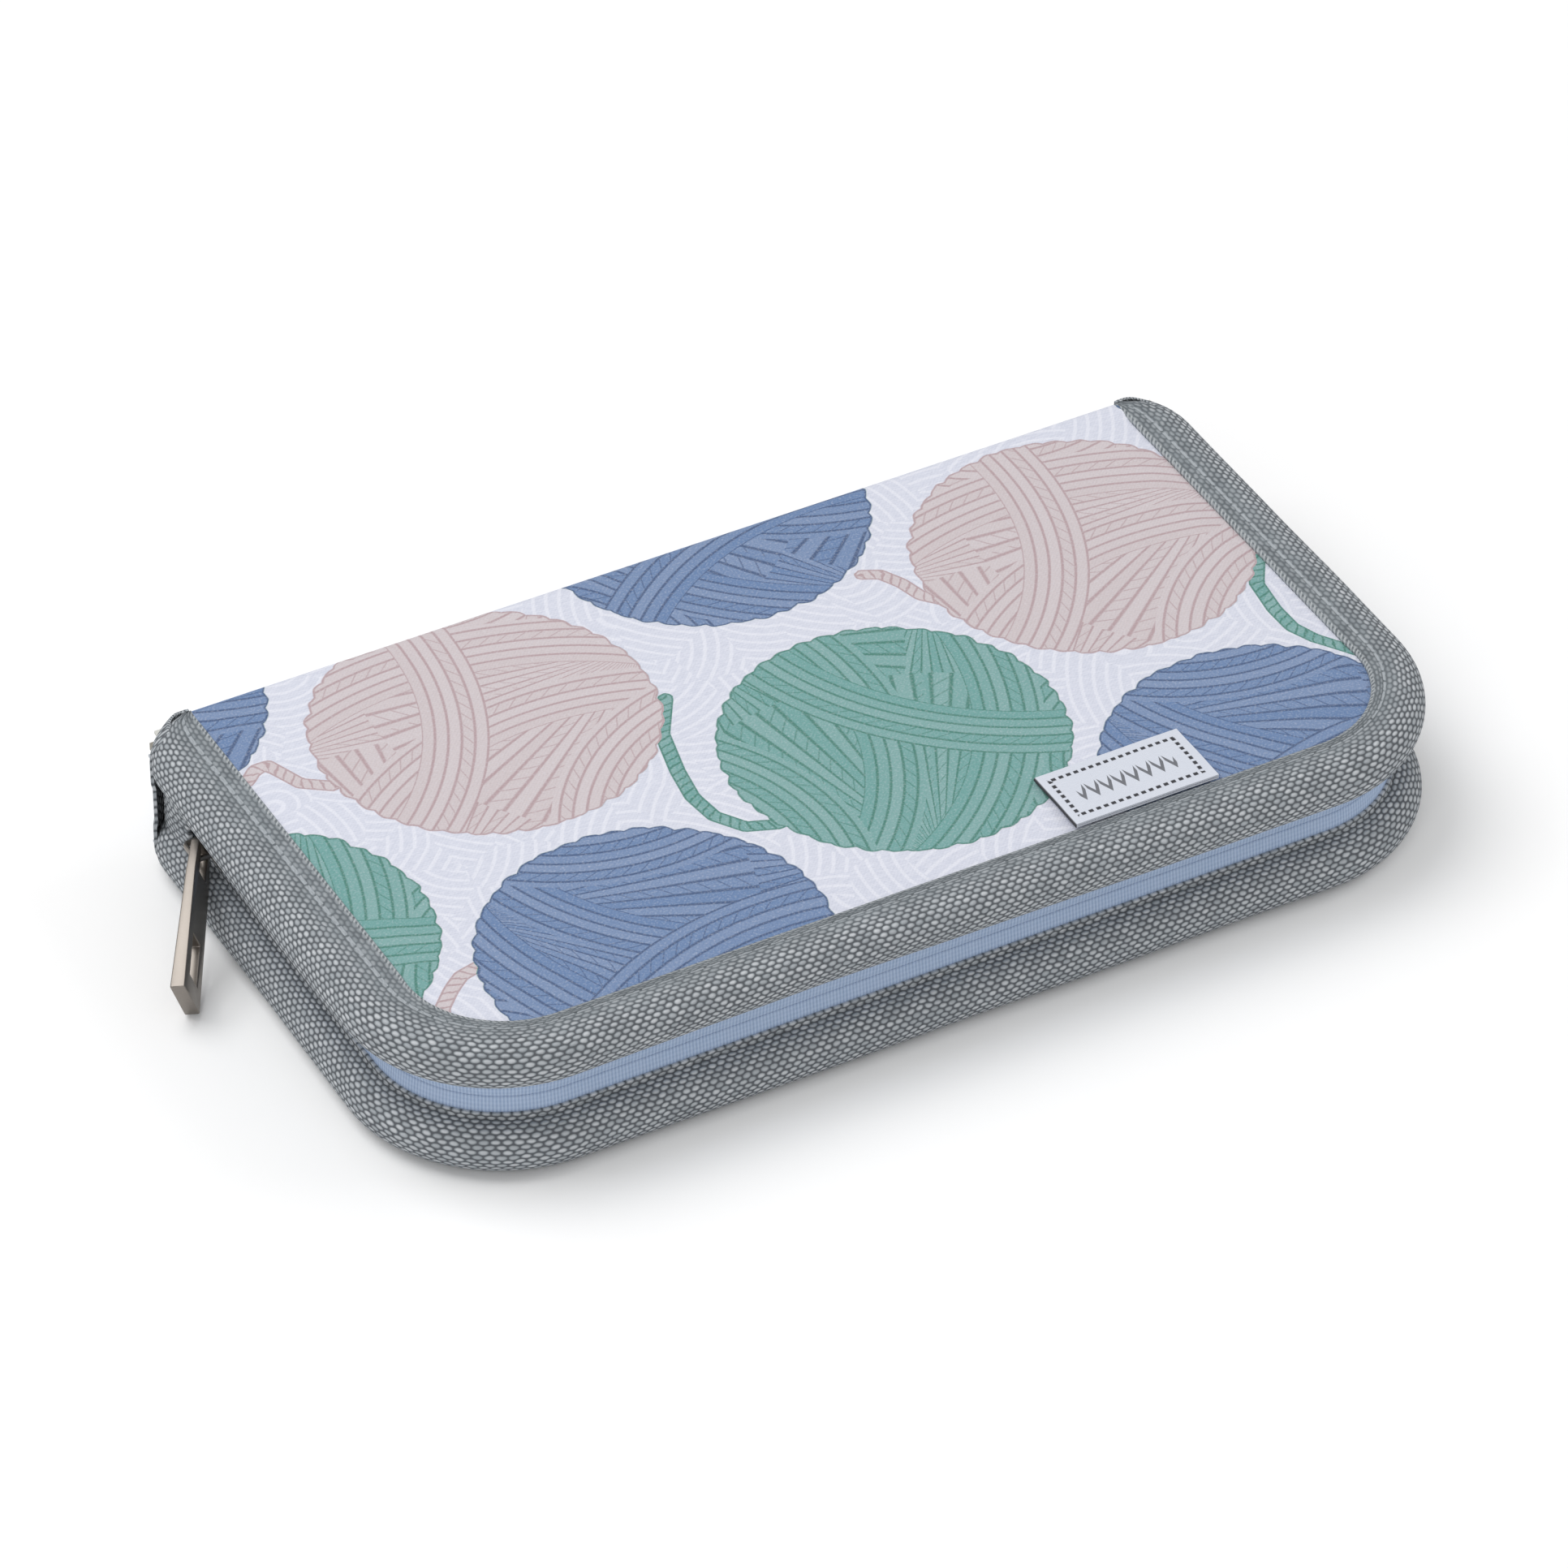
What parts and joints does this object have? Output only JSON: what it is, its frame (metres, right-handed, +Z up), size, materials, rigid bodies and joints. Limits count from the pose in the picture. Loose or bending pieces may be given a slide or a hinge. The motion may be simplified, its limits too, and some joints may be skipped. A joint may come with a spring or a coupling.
{
  "type": "knitting needle set",
  "caption": "Zip-around fabric case with a padded print cover and webbing binding, holding knitting needle tips in channels and coiled cables in a lid pocket.",
  "frame": {"origin": "middle of the case's length and depth, on the flat underside of the base cover", "axes": "+X along the case to the right, +Y to the spine, +Z up through the lid"},
  "size_m": [0.2255, 0.113, 0.0295],
  "materials": {
    "print": "printed woven cotton, matt",
    "webbing": "grey flecked basket-weave webbing, matt",
    "tape": "ribbed polyester zip tape, matt",
    "lining": "plain-weave lining, matt",
    "foam": "needled wadding, matt",
    "board": "stiff polyethylene board, matt",
    "nylon": "moulded nylon coil, satin",
    "nickel": "dark nickel plating, satin",
    "label": "folded woven label, matt",
    "wood": "laminated birch, waxed",
    "brass": "brass, satin",
    "cable": "flexible nylon cable, glossy",
    "plastic": "moulded plastic, satin"
  },
  "bodies": {
    "base": {"base_cover": "print", "base_padding": "foam", "base_board": "board", "base_lining": "lining", "base_binding": "webbing", "base_zip_tape": "tape", "base_zip_coil": "nylon", "gusset_lower_left": "webbing", "gusset_lower_right": "webbing", "zip_end_stop": "nickel", "needle_channels": "lining"},
    "spine": {"spine_cover": "print", "spine_board": "board", "spine_lining": "lining", "spine_trim_left": "webbing", "spine_trim_right": "webbing"},
    "lid": {"lid_cover": "print", "lid_padding": "foam", "lid_board": "board", "lid_lining": "lining", "lid_binding": "webbing", "lid_zip_tape": "tape", "lid_zip_coil": "nylon", "gusset_upper_left": "webbing", "gusset_upper_right": "webbing", "woven_label": "label", "cable_pocket": "lining", "cable_long": "cable", "cable_long_end_a": "brass", "cable_long_end_b": "brass", "cable_short": "cable", "cable_short_end_a": "brass", "cable_short_end_b": "brass", "tightening_key": "nickel", "end_stopper_a": "plastic", "end_stopper_b": "plastic"},
    "slider": {"slider_body": "nickel", "slider_bail": "nickel"},
    "pull": {"pull_tab": "nickel"},
    "tip_8mm_a": {"tip_ferrule_8mm_a": "brass", "tip_shaft_8mm_a": "wood"},
    "tip_8mm_b": {"tip_ferrule_8mm_b": "brass", "tip_shaft_8mm_b": "wood"},
    "tip_7mm_a": {"tip_ferrule_7mm_a": "brass", "tip_shaft_7mm_a": "wood"},
    "tip_7mm_b": {"tip_ferrule_7mm_b": "brass", "tip_shaft_7mm_b": "wood"},
    "tip_6mm_a": {"tip_ferrule_6mm_a": "brass", "tip_shaft_6mm_a": "wood"},
    "tip_6mm_b": {"tip_ferrule_6mm_b": "brass", "tip_shaft_6mm_b": "wood"},
    "tip_5mm_a": {"tip_ferrule_5mm_a": "brass", "tip_shaft_5mm_a": "wood"},
    "tip_5mm_b": {"tip_ferrule_5mm_b": "brass", "tip_shaft_5mm_b": "wood"},
    "tip_4mm_a": {"tip_ferrule_4mm_a": "brass", "tip_shaft_4mm_a": "wood"},
    "tip_4mm_b": {"tip_ferrule_4mm_b": "brass", "tip_shaft_4mm_b": "wood"}
  },
  "joints": [
    {"name": "spine_fold", "type": "hinge", "parent": "base", "child": "spine", "pos_m": [0, 0.0565, 0], "axis": [-1, 0, 0], "range_deg": [0, 90]},
    {"name": "lid_fold", "type": "hinge", "parent": "spine", "child": "lid", "pos_m": [0, 0.0565, 0.0285], "axis": [-1, 0, 0], "range_deg": [0, 90]},
    {"name": "slider_travel", "type": "slide", "parent": "base", "child": "slider", "axis": [0, -1, 0], "range_m": [0, 0.055]},
    {"name": "pull_swing", "type": "hinge", "parent": "slider", "child": "pull", "pos_m": [-0.1019, 0.036, 0.01485], "axis": [0, 0, -1], "range_deg": [-2, 105]},
    {"name": "tip_8mm_a_slide", "type": "slide", "parent": "base", "child": "tip_8mm_a", "axis": [1, 0, 0], "range_m": [0, 0.034]},
    {"name": "tip_8mm_b_slide", "type": "slide", "parent": "base", "child": "tip_8mm_b", "axis": [1, 0, 0], "range_m": [0, 0.034]},
    {"name": "tip_7mm_a_slide", "type": "slide", "parent": "base", "child": "tip_7mm_a", "axis": [1, 0, 0], "range_m": [0, 0.034]},
    {"name": "tip_7mm_b_slide", "type": "slide", "parent": "base", "child": "tip_7mm_b", "axis": [1, 0, 0], "range_m": [0, 0.034]},
    {"name": "tip_6mm_a_slide", "type": "slide", "parent": "base", "child": "tip_6mm_a", "axis": [1, 0, 0], "range_m": [0, 0.034]},
    {"name": "tip_6mm_b_slide", "type": "slide", "parent": "base", "child": "tip_6mm_b", "axis": [1, 0, 0], "range_m": [0, 0.034]},
    {"name": "tip_5mm_a_slide", "type": "slide", "parent": "base", "child": "tip_5mm_a", "axis": [1, 0, 0], "range_m": [0, 0.034]},
    {"name": "tip_5mm_b_slide", "type": "slide", "parent": "base", "child": "tip_5mm_b", "axis": [1, 0, 0], "range_m": [0, 0.034]},
    {"name": "tip_4mm_a_slide", "type": "slide", "parent": "base", "child": "tip_4mm_a", "axis": [1, 0, 0], "range_m": [0, 0.034]},
    {"name": "tip_4mm_b_slide", "type": "slide", "parent": "base", "child": "tip_4mm_b", "axis": [1, 0, 0], "range_m": [0, 0.034]}
  ]
}
